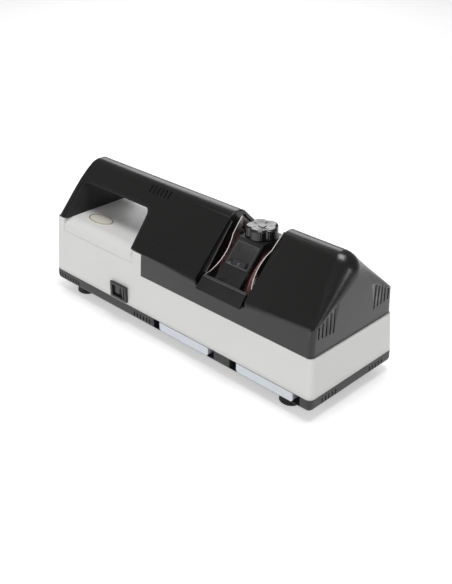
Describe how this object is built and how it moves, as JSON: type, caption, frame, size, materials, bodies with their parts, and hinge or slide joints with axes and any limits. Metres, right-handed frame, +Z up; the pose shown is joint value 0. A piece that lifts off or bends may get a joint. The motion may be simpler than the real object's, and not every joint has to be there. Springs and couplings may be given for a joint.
{
  "type": "electric knife sharpener",
  "caption": "Bench electric knife sharpener: white case on a dark base, roof-shaped black cover with a carrying handle, paired wheels under a lift-off guard and dust drawers.",
  "frame": {"origin": "centre of the bounding box's bottom, on the surface the feet stand on", "axes": "+X runs along the case toward the motor end, +Y toward the back with the power inlet, +Z up"},
  "size_m": [0.33, 0.1157, 0.1268],
  "materials": {
    "base_grey": "satin dark grey moulding",
    "housing_white": "satin white moulding",
    "cover_black": "soft gloss black moulding",
    "liner_black": "matte black moulding",
    "guard_black": "satin black moulding",
    "knob_black": "gloss black moulding",
    "guide_steel": "polished spring steel",
    "wheel_pink": "fine pink abrasive",
    "hub_aluminium": "turned",
    "bright_steel": "machined",
    "plate_steel": "zinc plated sheet",
    "core_steel": "stacked laminations",
    "winding_copper": "varnished copper windings",
    "shield_alloy": "die cast",
    "fan_plastic": "moulded",
    "capacitor_case": "moulded case",
    "drawer_white": "satin white moulding",
    "foot_rubber": "matte",
    "switch_black": "satin",
    "rocker_black": "gloss",
    "inlet_black": "satin",
    "pin_brass": "plated",
    "plate_cream": "printed plate, left bare"
  },
  "bodies": {
    "housing": {"base_tray": "base_grey", "chassis_plate": "plate_steel", "lower_housing": "housing_white", "top_cover": "cover_black", "handle_liner": "liner_black", "knob_stud": "bright_steel", "centre_plate": "plate_steel", "left_blade_guide": "guide_steel", "right_blade_guide": "guide_steel", "stator_core": "core_steel", "stator_windings": "winding_copper", "front_motor_shield": "shield_alloy", "rear_motor_shield": "shield_alloy", "front_motor_bearing": "bright_steel", "rear_motor_bearing": "bright_steel", "pedestal_bearing": "bright_steel", "motor_tie_bolts": "bright_steel", "bearing_pedestal": "shield_alloy", "motor_cradle": "shield_alloy", "run_capacitor": "capacitor_case", "capacitor_clip": "plate_steel", "dust_chute": "plate_steel", "front_left_foot": "foot_rubber", "front_right_foot": "foot_rubber", "rear_left_foot": "foot_rubber", "rear_right_foot": "foot_rubber", "foot_screws": "bright_steel", "switch_body": "switch_black", "power_inlet": "inlet_black", "inlet_pins": "pin_brass", "oval_plate": "plate_cream"},
    "spindle_unit": {"spindle": "bright_steel", "spindle_nut": "bright_steel", "left_grinding_wheel": "wheel_pink", "right_grinding_wheel": "wheel_pink", "left_wheel_hub": "hub_aluminium", "right_wheel_hub": "hub_aluminium", "wheel_spacer": "bright_steel", "rotor_core": "core_steel", "cooling_fan": "fan_plastic"},
    "rocker": {"switch_rocker": "rocker_black"},
    "left_drawer": {"left_dust_drawer": "drawer_white"},
    "right_drawer": {"right_dust_drawer": "drawer_white"},
    "guard": {"wheel_guard": "guard_black"},
    "knob": {"star_knob": "knob_black"}
  },
  "joints": [
    {"name": "spindle_spin", "type": "hinge", "parent": "housing", "child": "spindle_unit", "pos_m": [0.0615, 0, 0.068], "axis": [1, 0, 0], "continuous": true},
    {"name": "rocker_tip", "type": "hinge", "parent": "housing", "child": "rocker", "pos_m": [-0.0653, -0.05233, 0.0306], "axis": [0, 0, 1], "range_deg": [0, 16]},
    {"name": "left_drawer_slide", "type": "slide", "parent": "housing", "child": "left_drawer", "axis": [0, -1, 0], "range_m": [0, 0.07]},
    {"name": "right_drawer_slide", "type": "slide", "parent": "housing", "child": "right_drawer", "axis": [0, -1, 0], "range_m": [0, 0.07]},
    {"name": "guard_lift", "type": "slide", "parent": "housing", "child": "guard", "axis": [0, 0, 1], "range_m": [0, 0.03]},
    {"name": "knob_turn", "type": "hinge", "parent": "guard", "child": "knob", "pos_m": [0.0615, 0, 0.1123], "axis": [0, 0, 1], "range_deg": [0, 1080]}
  ]
}
